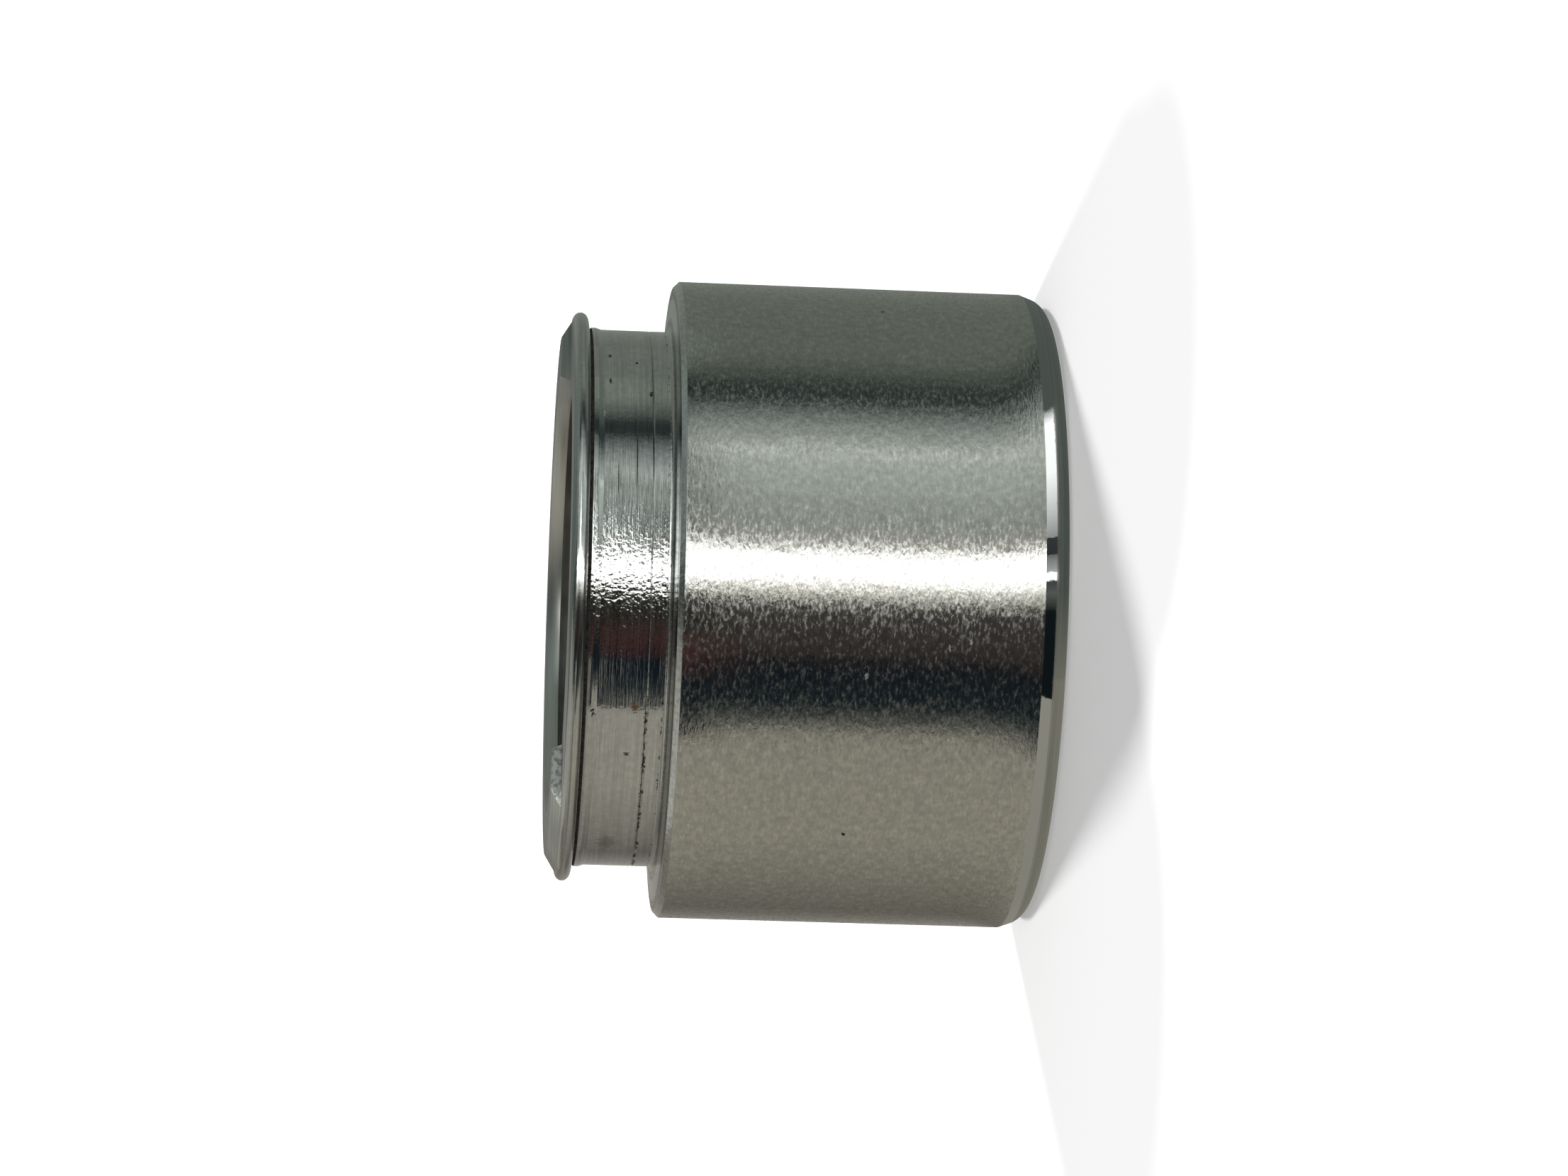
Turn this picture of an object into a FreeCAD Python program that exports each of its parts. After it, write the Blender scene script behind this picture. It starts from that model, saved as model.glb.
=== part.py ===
import FreeCAD, Part
import math
import os

# Brake caliper piston: one turned and ground steel cup.
# Brake fluid pushes on the closed end, and the open rim presses on the pad's back plate.
# All sizes are in millimetres. +Z runs along the axis and out of the open mouth.
# The origin is the centre of the flat face of the closed end, on which the piston stands.
# The milled step in the rim faces -Y.

# Ground wall that slides in the caliper's seal
body_diameter = 54.0
ground_length = 28.85

# Closed end: flat face, corner rounding and lead-in cone up to the ground wall
lead_in_height = 2.15
lead_in_angle = 20.0
end_corner_radius = 1.9

# Shoulder between the ground wall and the boot groove
shoulder_chamfer = 0.45
shoulder_rise = 0.3
groove_corner_radius = 0.4

# Groove that holds the dust boot's bead, with a low ring beside the lip
groove_diameter = 45.4
groove_width = 6.87
groove_ring_height = 0.15
groove_ring_width = 1.0

# Thin lip with a half-elliptical crest, which keeps the boot's bead in the groove
lip_diameter = 48.2
lip_width = 1.27
lip_crest_height = 0.7

# Rim in front of the lip, which narrows towards the pad
rim_diameter = 44.0
rim_height = 0.86
rim_edge_radius = 0.2

# Step milled straight across one side of the rim, nearly down to the front of the lip
step_offset = 8.2
step_depth = 0.8
cutter_run_out = 2.0

# Inside of the cup, with a short cone at its mouth and a bevel round its floor
bore_diameter = 36.3
mouth_cone_width = 0.5
mouth_cone_depth = 1.15
floor_thickness = 7.0
floor_bevel = 4.0

# Radii of the turned outline
body_r = body_diameter / 2
groove_r = groove_diameter / 2
ring_r = groove_r + groove_ring_height
lip_r = lip_diameter / 2
crest_base_r = lip_r - lip_crest_height
rim_r = rim_diameter / 2
bore_r = bore_diameter / 2
mouth_r = bore_r + mouth_cone_width
end_face_r = body_r - lead_in_height * math.tan(math.radians(lead_in_angle))

# Heights of the turned outline, stacked up from the closed end
ground_top = lead_in_height + ground_length
chamfer_top = ground_top + shoulder_chamfer
shoulder_top = chamfer_top + shoulder_rise
lip_bottom = shoulder_top + groove_width
ring_bottom = lip_bottom - groove_ring_width
lip_top = lip_bottom + lip_width
rim_top = lip_top + rim_height
mouth_cone_bottom = rim_top - mouth_cone_depth

# Largest share of an edge that a corner rounding may use
ROUNDING_SHARE = 0.9


def outside_corners():
    """Corners of the outside as (radius, height, rounding), from the closed end's centre up to the lip."""
    return [
        (0.0, 0.0, 0.0),
        (end_face_r, 0.0, end_corner_radius),
        (body_r, lead_in_height, 0.0),
        (body_r, ground_top, 0.0),
        (body_r - shoulder_chamfer, chamfer_top, 0.0),
        (groove_r, shoulder_top, groove_corner_radius),
        (groove_r, ring_bottom, 0.0),
        (ring_r, ring_bottom + groove_ring_height, 0.0),
        (ring_r, lip_bottom, 0.0),
        (crest_base_r, lip_bottom, 0.0),
    ]


def mouth_corners():
    """Corners of the rim and bore as (radius, height, rounding), from the lip down to the cup's floor."""
    return [
        (crest_base_r, lip_top, 0.0),
        (rim_r, rim_top, rim_edge_radius),
        (mouth_r, rim_top, 0.0),
        (bore_r, mouth_cone_bottom, 0.0),
        (bore_r, floor_thickness + floor_bevel, 0.0),
        (bore_r - floor_bevel, floor_thickness, 0.0),
        (0.0, floor_thickness, 0.0),
    ]


def corner_arc(last_point, corner, next_point, rounding):
    """First, middle and last point of the arc that rounds a corner."""
    to_last = last_point - corner
    to_next = next_point - corner
    half_opening = to_last.getAngle(to_next) / 2
    longest = ROUNDING_SHARE * min(to_last.Length, to_next.Length)
    reach = min(rounding / math.tan(half_opening), longest)
    arc_radius = reach * math.tan(half_opening)
    to_last.normalize()
    to_next.normalize()
    inward = (to_last + to_next).normalize()
    middle_distance = arc_radius / math.sin(half_opening) - arc_radius
    return corner + to_last * reach, corner + inward * middle_distance, corner + to_next * reach


def rounded_path(corners):
    """Edges from the first corner to the last, with a tangent arc at each one that has a rounding."""
    points = [FreeCAD.Vector(radius, 0, height) for radius, height, rounding in corners]
    edges = []
    start = points[0]
    for i in range(1, len(points)):
        rounding = corners[i][2]
        if rounding:
            first, middle, last = corner_arc(points[i - 1], points[i], points[i + 1], rounding)
            edges.append(Part.LineSegment(start, first).toShape())
            edges.append(Part.Arc(first, middle, last).toShape())
            start = last
        else:
            edges.append(Part.LineSegment(start, points[i]).toShape())
            start = points[i]
    return edges


def lip_crest():
    """Half-elliptical edge over the lip, between its groove side and its rim side."""
    half_width = lip_width / 2
    middle = FreeCAD.Vector(crest_base_r, 0, lip_bottom + half_width)
    tip = middle + FreeCAD.Vector(lip_crest_height, 0, 0)
    rim_side = middle + FreeCAD.Vector(0, 0, half_width)
    if lip_crest_height > half_width:
        ellipse = Part.Ellipse(tip, rim_side, middle)
        return Part.ArcOfEllipse(ellipse, -math.pi / 2, math.pi / 2).toShape()
    ellipse = Part.Ellipse(rim_side, tip, middle)
    return Part.ArcOfEllipse(ellipse, 0, math.pi).toShape()


def turned_cup():
    """Solid of revolution of the half section about the axis."""
    axis_line = Part.LineSegment(FreeCAD.Vector(0, 0, floor_thickness), FreeCAD.Vector(0, 0, 0)).toShape()
    edges = rounded_path(outside_corners()) + [lip_crest()] + rounded_path(mouth_corners()) + [axis_line]
    section = Part.Face(Part.Wire(edges))
    return section.revolve(FreeCAD.Vector(0, 0, 0), FreeCAD.Vector(0, 0, 1), 360)


def step_cutter():
    """Block swept by the straight milling pass on the -Y side of the rim."""
    reach = lip_r + cutter_run_out
    corner = FreeCAD.Vector(-reach, -reach, rim_top - step_depth)
    return Part.makeBox(2 * reach, reach - step_offset, step_depth + cutter_run_out, corner)


def piston():
    """The finished piston as one solid."""
    return turned_cup().cut(step_cutter()).Solids[0]


os.makedirs("parts", exist_ok=True)
shape = piston()
shape.exportStep("parts/piston.step")
print("piston", "valid", shape.isValid(), "volume", round(shape.Volume, 1))
print("height", round(shape.BoundBox.ZLength, 3), "width", round(shape.BoundBox.XLength, 3))
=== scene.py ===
import math

import bpy
from bpy.props import FloatProperty, FloatVectorProperty, IntProperty, PointerProperty
from mathutils import Matrix, Vector


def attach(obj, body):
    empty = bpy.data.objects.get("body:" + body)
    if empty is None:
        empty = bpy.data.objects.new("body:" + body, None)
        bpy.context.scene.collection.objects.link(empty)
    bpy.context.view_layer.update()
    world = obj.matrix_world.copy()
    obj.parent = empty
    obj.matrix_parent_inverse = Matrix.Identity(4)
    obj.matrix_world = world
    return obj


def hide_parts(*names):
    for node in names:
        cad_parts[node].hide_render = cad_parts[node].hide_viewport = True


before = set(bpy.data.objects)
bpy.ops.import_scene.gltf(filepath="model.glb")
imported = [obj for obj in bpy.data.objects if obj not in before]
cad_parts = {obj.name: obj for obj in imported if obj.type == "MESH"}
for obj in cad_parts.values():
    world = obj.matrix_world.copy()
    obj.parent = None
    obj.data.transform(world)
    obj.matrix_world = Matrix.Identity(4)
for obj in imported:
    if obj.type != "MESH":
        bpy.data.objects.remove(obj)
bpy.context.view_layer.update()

bl_info = {
    "name": "Brake Caliper Piston",
    "version": (1, 0, 0),
    "blender": (4, 5, 0),
    "location": "View3D > Sidebar > Piston",
    "description": "Turned and ground brake caliper piston with its studio",
    "category": "Object",
}

# The piston stands on its closed end at the origin, and its mouth opens towards +Z.
# The milled step in the rim faces -Y. All lengths are in metres.

MM = 0.001

# Rounding of a corner that is only broken, and the rounding above which an arc gets more points
FINE_ROUNDING = 0.06 * MM
LARGE_ROUNDING = 0.15 * MM

# Faces that meet at a larger angle than this get a crease
CREASE_ANGLE = math.radians(24)


def length_setting(name, description, default, least=0.1 * MM):
    """A length of the piston or its studio."""
    return FloatProperty(name=name, description=description, default=default, min=least, unit="LENGTH")


def colour_setting(name, description, default):
    """A colour of a finish or the floor."""
    return FloatVectorProperty(
        name=name, description=description, default=default, size=3, min=0.0, max=1.0, subtype="COLOR"
    )


class PistonSizes(bpy.types.PropertyGroup):
    """Turned sizes of the piston."""

    body_diameter: length_setting(
        "Body diameter", "Diameter of the ground wall that slides in the seal", 54.0 * MM, 10 * MM
    )
    ground_length: length_setting(
        "Ground length", "Length of the ground wall along the axis", 28.85 * MM, 1 * MM
    )
    lead_in_height: length_setting(
        "Lead-in height", "Height of the polished cone and rounding at the closed end", 2.15 * MM
    )
    lead_in_angle: FloatProperty(
        name="Lead-in angle",
        description="Slope of the polished cone against the axis",
        default=math.radians(20.0),
        min=0.01,
        max=1.2,
        subtype="ANGLE",
    )
    end_corner_radius: length_setting(
        "End corner radius", "Rounding between the closed end's flat face and the cone", 1.9 * MM
    )
    shoulder_chamfer: length_setting(
        "Shoulder chamfer", "Bevel at the groove end of the ground wall", 0.45 * MM
    )
    shoulder_rise: length_setting("Shoulder rise", "Slope of the shoulder's face towards the groove", 0.3 * MM)
    groove_corner_radius: length_setting(
        "Groove corner radius", "Fillet between the shoulder and the groove", 0.4 * MM
    )
    groove_diameter: length_setting(
        "Groove diameter", "Diameter at the bottom of the boot groove", 45.4 * MM, 5 * MM
    )
    groove_width: length_setting(
        "Groove width", "Width of the boot groove between shoulder and lip", 6.87 * MM, 1 * MM
    )
    groove_ring_height: length_setting(
        "Groove ring height", "Height of the low ring beside the lip", 0.15 * MM, 0.01 * MM
    )
    groove_ring_width: length_setting("Groove ring width", "Width of the low ring beside the lip", 1.0 * MM)
    crevice_width: length_setting(
        "Crevice width", "Width of the dark relief at the foot of the lip", 0.3 * MM, 0.01 * MM
    )
    crevice_depth: length_setting(
        "Crevice depth", "Depth of the dark relief below the low ring", 0.3 * MM, 0.01 * MM
    )
    score_height: length_setting(
        "Score height", "Height of the scored line round the groove", 33.46 * MM, 1 * MM
    )
    score_width: length_setting("Score width", "Width of the scored line", 0.17 * MM, 0.01 * MM)
    score_depth: length_setting("Score depth", "Depth of the scored line", 0.045 * MM, 0.01 * MM)
    lip_diameter: length_setting("Lip diameter", "Diameter over the crest of the lip", 48.2 * MM, 5 * MM)
    lip_width: length_setting("Lip width", "Thickness of the lip along the axis", 1.27 * MM)
    lip_crest_height: length_setting("Lip crest height", "Height of the lip's rounded crest", 0.7 * MM)
    rim_diameter: length_setting(
        "Rim diameter", "Diameter of the flat rim that meets the pad", 44.0 * MM, 5 * MM
    )
    rim_height: length_setting("Rim height", "Height of the rim in front of the lip", 0.86 * MM)
    rim_edge_radius: length_setting(
        "Rim edge radius", "Rounding at the outer edge of the rim", 0.2 * MM, 0.01 * MM
    )
    step_offset: length_setting(
        "Step offset", "Distance of the milled step's wall from the axis", 8.2 * MM, 0.0
    )
    step_depth: length_setting("Step depth", "Depth of the milled step below the rim", 0.8 * MM, 0.01 * MM)
    bore_diameter: length_setting("Bore diameter", "Inner diameter of the cup", 36.3 * MM, 5 * MM)
    mouth_cone_width: length_setting(
        "Mouth cone width", "Widening of the bore at its mouth", 0.5 * MM, 0.01 * MM
    )
    mouth_cone_depth: length_setting(
        "Mouth cone depth", "Depth of the cone at the bore's mouth", 1.15 * MM, 0.01 * MM
    )
    floor_thickness: length_setting("Floor thickness", "Thickness of the closed end", 7.0 * MM)
    floor_bevel: length_setting("Floor bevel", "Bevel around the floor of the bore", 4.0 * MM)
    turned_sides: IntProperty(
        name="Turned sides",
        description="Number of faces around the turned forms",
        default=360,
        min=24,
        max=720,
    )


class PistonColours(bpy.types.PropertyGroup):
    """Colours of the piston's finishes."""

    ground_steel: colour_setting("Ground steel", "Colour of the ground and plated wall", (0.60, 0.60, 0.57))
    turned_steel: colour_setting(
        "Turned steel", "Colour of the polished groove and lead-in", (0.64, 0.65, 0.64)
    )
    milled_steel: colour_setting("Milled steel", "Colour of the milled step and the rim", (0.54, 0.56, 0.54))
    # Painted shade in the crevice at the lip's foot, in the lines at the ends of the shoulder's face and in the
    # bore; the same colour is also that of the dark dots on the ground wall.
    dark_shade_and_spots: colour_setting(
        "Dark shade and spots", "Colour of the painted shade in the crevice, on the shoulder and in the bore, and of the dark dots on the wall", (0.045, 0.038, 0.034)
    )
    stain: colour_setting("Stain", "Colour of the dull stain and the pits in the groove", (0.16, 0.15, 0.13))
    rust_speck: colour_setting("Rust speck", "Colour of the small rust speck in the groove", (0.34, 0.19, 0.15))


class PistonStudio(bpy.types.PropertyGroup):
    """Floor, light and reflection cards round the piston."""

    floor_colour: colour_setting("Floor colour", "Colour of the floor", (0.80, 0.80, 0.80))
    lamp_strength: FloatProperty(
        name="Lamp strength",
        description="Strength of each soft lamp behind the piston",
        default=3.1,
        min=0.0,
    )
    sky_strength: FloatProperty(
        name="Sky strength",
        description="Strength of the even light from all round",
        default=0.35,
        min=0.0,
    )
    card_radius: length_setting(
        "Card radius", "Distance of the reflection cards from the piston's axis", 55.0 * MM, 30 * MM
    )


# Small builders for node trees

def new_node(tree, kind, feeds=None, **settings):
    """Adds a node with its plain settings. feeds gives values or sockets for its inputs, by name or number."""
    node = tree.nodes.new(kind)
    for key, value in settings.items():
        setattr(node, key, value)
    for key, value in (feeds or {}).items():
        if isinstance(value, bpy.types.NodeSocket):
            tree.links.new(value, node.inputs[key])
        else:
            node.inputs[key].default_value = value
    return node


def calculate(tree, operation, *values):
    """Arithmetic on numbers or sockets, returned as a socket."""
    return new_node(tree, "ShaderNodeMath", dict(enumerate(values)), operation=operation).outputs[0]


def largest(tree, *values):
    """The largest of several sockets."""
    result = values[0]
    for value in values[1:]:
        result = calculate(tree, "MAXIMUM", result, value)
    return result


# The turned outline

def corner_arc(last_point, corner, next_point, rounding, steps):
    """Points of the tangent arc that rounds a corner."""
    to_last = last_point - corner
    to_next = next_point - corner
    half_opening = to_last.angle(to_next) / 2
    longest = 0.9 * min(to_last.length, to_next.length)
    reach = min(rounding / math.tan(half_opening), longest)
    radius = reach * math.tan(half_opening)
    bisector = (to_last.normalized() + to_next.normalized()).normalized()
    centre = corner + bisector * (radius / math.sin(half_opening))
    start = corner + to_last.normalized() * reach - centre
    end = corner + to_next.normalized() * reach - centre
    turn = start.angle(end)
    points = []
    for i in range(steps + 1):
        share = i / steps
        weight_start = math.sin((1 - share) * turn) / math.sin(turn)
        weight_end = math.sin(share * turn) / math.sin(turn)
        points.append(centre + start * weight_start + end * weight_end)
    return points


def outline_corners(sizes):
    """Corners of the half section as (radius, height, rounding, finish of the run that follows)."""
    body_r = sizes.body_diameter / 2
    groove_r = sizes.groove_diameter / 2
    ring_r = groove_r + sizes.groove_ring_height
    lip_base_r = sizes.lip_diameter / 2 - sizes.lip_crest_height
    bore_r = sizes.bore_diameter / 2
    end_face_r = body_r - sizes.lead_in_height * math.tan(sizes.lead_in_angle)
    ground_top = sizes.lead_in_height + sizes.ground_length
    chamfer_top = ground_top + sizes.shoulder_chamfer
    shoulder_top = chamfer_top + sizes.shoulder_rise
    lip_bottom = shoulder_top + sizes.groove_width
    ring_bottom = lip_bottom - sizes.groove_ring_width
    crevice_bottom = lip_bottom - sizes.crevice_width
    lip_top = lip_bottom + sizes.lip_width
    rim_top = lip_top + sizes.rim_height
    score_half = sizes.score_width / 2
    below = [
        (0.0, 0.0, 0.0, "end_face"),
        (end_face_r, 0.0, sizes.end_corner_radius, "lead_in"),
        (body_r, sizes.lead_in_height, FINE_ROUNDING, "ground_wall"),
        (body_r, ground_top, FINE_ROUNDING, "shoulder"),
        (body_r - sizes.shoulder_chamfer, chamfer_top, FINE_ROUNDING, "shoulder"),
        (groove_r, shoulder_top, sizes.groove_corner_radius, "groove"),
        (groove_r, sizes.score_height - score_half, 0.0, "groove"),
        (groove_r - sizes.score_depth, sizes.score_height, 0.0, "groove"),
        (groove_r, sizes.score_height + score_half, 0.0, "groove"),
        (groove_r, ring_bottom - sizes.groove_ring_height, FINE_ROUNDING, "groove"),
        (ring_r, ring_bottom + 2 * sizes.groove_ring_height, FINE_ROUNDING, "groove"),
        (ring_r, crevice_bottom, FINE_ROUNDING, "crevice"),
        (ring_r - sizes.crevice_depth, lip_bottom, 0.0, "crevice"),
        (lip_base_r, lip_bottom, 0.0, "lip"),
    ]
    above = [
        (lip_base_r, lip_top, 0.0, "rim"),
        (sizes.rim_diameter / 2, rim_top, sizes.rim_edge_radius, "rim"),
        (bore_r + sizes.mouth_cone_width, rim_top, FINE_ROUNDING, "mouth_cone"),
        (bore_r, rim_top - sizes.mouth_cone_depth, 0.0, "bore"),
        (bore_r, sizes.floor_thickness + sizes.floor_bevel, 0.0, "bore"),
        (bore_r - sizes.floor_bevel, sizes.floor_thickness, 0.0, "bore"),
        (0.0, sizes.floor_thickness, 0.0, "bore"),
    ]
    return below, above, rim_top


def rounded_run(corners):
    """Outline points as (radius, height, finish), with an arc at each corner that has a rounding."""
    places = [Vector((radius, height)) for radius, height, _, _ in corners]
    run = [(places[0], corners[0][3])]
    for i in range(1, len(corners)):
        rounding, finish = corners[i][2], corners[i][3]
        if not rounding or i == len(corners) - 1:
            run.append((places[i], finish))
            continue
        steps = 16 if rounding > LARGE_ROUNDING else 4
        points = corner_arc(places[i - 1], places[i], places[i + 1], rounding, steps)
        before = corners[i - 1][3]
        run.extend((point, before) for point in points[:-1])
        run.append((points[-1], finish))
    return run


def lip_crest(foot, width, height, steps=28):
    """Half-elliptical crest of the lip, from its groove side to its rim side."""
    centre = foot + Vector((0, width / 2))
    points = []
    for i in range(1, steps):
        turn = math.pi * i / steps
        points.append(centre + Vector((height * math.sin(turn), -width / 2 * math.cos(turn))))
    return points


def outline_points(sizes):
    """The whole half section as (radius, height, finish), from the closed end's centre to the bore's floor."""
    below, above, rim_top = outline_corners(sizes)
    run = rounded_run(below)
    foot = run[-1][0]
    run.extend((point, "lip") for point in lip_crest(foot, sizes.lip_width, sizes.lip_crest_height))
    run.extend(rounded_run(above))
    return run, rim_top


def outline_mesh(points):
    """The half section as a string of points, each with the finish of the run that follows it."""
    mesh = bpy.data.meshes.new("turned_outline")
    places = [(point.x, 0.0, point.y) for point, finish in points]
    mesh.from_pydata(places, [(i, i + 1) for i in range(len(points) - 1)], [])
    numbers = {name: number for number, name in enumerate(FINISHES)}
    finish = mesh.attributes.new("finish", "INT", "POINT")
    finish.data.foreach_set("value", [numbers[name] for point, name in points])
    return mesh


# The tree that turns the outline into the piston

def turning_tree(materials):
    """Geometry Nodes tree: turns an outline about Z, mills the step and gives each zone its finish."""
    tree = bpy.data.node_groups.new("turned_and_milled", "GeometryNodeTree")
    for name, way, kind in (
        ("Outline", "INPUT", "NodeSocketGeometry"),
        ("Turned sides", "INPUT", "NodeSocketInt"),
        ("Step wall", "INPUT", "NodeSocketFloat"),
        ("Step floor", "INPUT", "NodeSocketFloat"),
        ("Piston", "OUTPUT", "NodeSocketGeometry"),
    ):
        tree.interface.new_socket(name=name, in_out=way, socket_type=kind)
    outline, sides, step_wall, step_floor = new_node(tree, "NodeGroupInput").outputs[:4]

    # A grid with the outline's points along one side and the turned sides along the other
    size = new_node(tree, "GeometryNodeAttributeDomainSize", {"Geometry": outline}, component="MESH")
    rows = size.outputs["Point Count"]
    columns = calculate(tree, "ADD", sides, 1)
    grid = new_node(tree, "GeometryNodeMeshGrid", {"Vertices X": columns, "Vertices Y": rows})

    # Each column of the grid is the outline, turned about Z
    index = new_node(tree, "GeometryNodeInputIndex").outputs[0]
    row = calculate(tree, "MODULO", index, rows)
    column = calculate(tree, "FLOOR", calculate(tree, "DIVIDE", calculate(tree, "ADD", index, 0.5), rows))
    turn = calculate(tree, "DIVIDE", calculate(tree, "MULTIPLY", column, 2 * math.pi), sides)
    place = new_node(tree, "GeometryNodeInputPosition").outputs[0]
    outline_place = {"Geometry": outline, "Value": place, "Index": row}
    sampled = new_node(tree, "GeometryNodeSampleIndex", outline_place, data_type="FLOAT_VECTOR", domain="POINT")
    radius, _, height = new_node(tree, "ShaderNodeSeparateXYZ", {0: sampled.outputs[0]}).outputs
    x = calculate(tree, "MULTIPLY", radius, calculate(tree, "COSINE", turn))
    y = calculate(tree, "MULTIPLY", radius, calculate(tree, "SINE", turn))
    turned = new_node(tree, "ShaderNodeCombineXYZ", {0: x, 1: y, 2: height}).outputs[0]
    shaped = new_node(tree, "GeometryNodeSetPosition", {"Geometry": grid.outputs["Mesh"], "Position": turned})

    # Each face takes the finish of its run of the outline, then the grid's edges are joined
    finish = new_node(tree, "GeometryNodeInputNamedAttribute", {"Name": "finish"}, data_type="INT")
    finish = finish.outputs["Attribute"]
    face_row = calculate(tree, "MODULO", index, calculate(tree, "SUBTRACT", rows, 1))
    outline_finish = {"Geometry": outline, "Value": finish, "Index": face_row}
    face_finish = new_node(tree, "GeometryNodeSampleIndex", outline_finish, data_type="INT", domain="POINT")
    marks = {"Geometry": shaped.outputs[0], "Name": "finish", "Value": face_finish.outputs[0]}
    marked = new_node(tree, "GeometryNodeStoreNamedAttribute", marks, data_type="INT", domain="FACE")
    seam = {"Geometry": marked.outputs[0], "Distance": 0.0005 * MM}
    closed = new_node(tree, "GeometryNodeMergeByDistance", seam)

    # A large block cuts the step
    block_size = 60 * MM
    block = new_node(tree, "GeometryNodeMeshCube", {"Size": (block_size, block_size, block_size)})
    block_y = calculate(tree, "SUBTRACT", -block_size / 2, step_wall)
    block_z = calculate(tree, "ADD", block_size / 2, step_floor)
    block_place = new_node(tree, "ShaderNodeCombineXYZ", {1: block_y, 2: block_z}).outputs[0]
    move = {"Geometry": block.outputs["Mesh"], "Translation": block_place}
    cutter = new_node(tree, "GeometryNodeTransform", move)
    cut = {0: closed.outputs[0], 1: cutter.outputs[0]}
    milled = new_node(tree, "GeometryNodeMeshBoolean", cut, operation="DIFFERENCE")

    # Smooth faces, with a crease wherever they meet at an angle
    smooth = new_node(tree, "GeometryNodeSetShadeSmooth", {"Geometry": milled.outputs[0]}, domain="FACE")
    angle = new_node(tree, "GeometryNodeInputMeshEdgeAngle").outputs["Unsigned Angle"]
    sharp = calculate(tree, "GREATER_THAN", angle, CREASE_ANGLE)
    crease = {"Geometry": smooth.outputs[0], "Selection": sharp, "Shade Smooth": False}
    creased = new_node(tree, "GeometryNodeSetShadeSmooth", crease, domain="EDGE")

    # Faces of the milled step lie on its wall or its floor
    _, face_y, face_z = new_node(tree, "ShaderNodeSeparateXYZ", {0: place}).outputs
    near = 0.002 * MM
    on_wall = calculate(tree, "COMPARE", calculate(tree, "ADD", face_y, step_wall), 0.0, near)
    above = calculate(tree, "GREATER_THAN", face_z, step_floor)
    on_floor = calculate(tree, "COMPARE", face_z, step_floor, near)
    outside = calculate(tree, "LESS_THAN", face_y, calculate(tree, "MULTIPLY", step_wall, -1.0))
    by_wall = calculate(tree, "MULTIPLY", on_wall, above)
    by_floor = calculate(tree, "MULTIPLY", on_floor, outside)
    by_miller = largest(tree, by_wall, by_floor)

    result = new_node(tree, "GeometryNodeRealizeInstances", {0: creased.outputs[0]}).outputs[0]
    for number, name in enumerate(FINISHES):
        chosen = by_miller if name == "milled_step" else calculate(tree, "COMPARE", finish, number, 0.1)
        coat = {"Geometry": result, "Material": materials[name], "Selection": chosen}
        result = new_node(tree, "GeometryNodeSetMaterial", coat).outputs[0]
    new_node(tree, "NodeGroupOutput", {0: result})
    return tree


def set_input(modifier, tree, name, value):
    """Sets a modifier's input by the identifier of its socket."""
    for item in tree.interface.items_tree:
        if item.item_type == "SOCKET" and item.in_out == "INPUT" and item.name == name:
            modifier[item.identifier] = value
            return
    raise KeyError(name)


def add_object(name, data):
    """A new object in the scene."""
    thing = bpy.data.objects.new(name, data)
    bpy.context.scene.collection.objects.link(thing)
    return thing


def plain_piece(name, source):
    """The evaluated result of an object with live modifiers, as a plain mesh object."""
    depsgraph = bpy.context.evaluated_depsgraph_get()
    mesh = bpy.data.meshes.new_from_object(source.evaluated_get(depsgraph), depsgraph=depsgraph)
    mesh.name = name
    bpy.data.objects.remove(source)
    return add_object(name, mesh)


# Finishes

def new_steel(name, colour, roughness, metallic=1.0):
    """A metal material with its uniform values on the shader itself."""
    material = bpy.data.materials.new(name)
    material.use_nodes = True
    shader = material.node_tree.nodes["Principled BSDF"]
    shader.inputs["Base Color"].default_value = (*colour, 1.0)
    shader.inputs["Metallic"].default_value = metallic
    shader.inputs["Roughness"].default_value = roughness
    return material, material.node_tree, shader


def object_place(tree):
    """The surface's place on the piston."""
    return new_node(tree, "ShaderNodeTexCoord").outputs["Object"]


def object_parts(tree):
    """X, Y and Z of the surface's place."""
    return new_node(tree, "ShaderNodeSeparateXYZ", {0: object_place(tree)}).outputs


def radius_of(tree):
    """Distance of the surface from the axis."""
    x, y, _ = object_parts(tree)
    total = calculate(tree, "MULTIPLY_ADD", y, y, calculate(tree, "MULTIPLY", x, x))
    return calculate(tree, "SQRT", total)


def stretched_place(tree, scale):
    """The surface's place, stretched by a scale for each axis."""
    return new_node(tree, "ShaderNodeMapping", {"Vector": object_place(tree), "Scale": scale}).outputs[0]


def noise_feeds(place, scale, detail, roughness):
    """Values and sockets for the inputs of a noise texture."""
    return {"Vector": place, "Scale": scale, "Detail": detail, "Roughness": roughness}


def mark_pattern(tree, across, along, detail=2.0, roughness=0.5):
    """Noise drawn out along the turning marks. across and along are marks per metre."""
    feeds = noise_feeds(stretched_place(tree, (along, along, across)), 1.0, detail, roughness)
    feeds["W"] = calculate(tree, "MULTIPLY", radius_of(tree), across)
    return new_node(tree, "ShaderNodeTexNoise", feeds, noise_dimensions="4D").outputs["Fac"]


def even_pattern(tree, scale, detail=2.0, roughness=0.5):
    """Noise of the same size in all directions. scale is blotches per metre."""
    feeds = noise_feeds(object_place(tree), scale, detail, roughness)
    return new_node(tree, "ShaderNodeTexNoise", feeds).outputs["Fac"]


def spread(tree, pattern, low, high, from_low=0.3, from_high=0.7):
    """Maps a pattern onto a range."""
    feeds = {"Value": pattern, "From Min": from_low, "From Max": from_high, "To Min": low, "To Max": high}
    return new_node(tree, "ShaderNodeMapRange", feeds).outputs["Result"]


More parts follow.
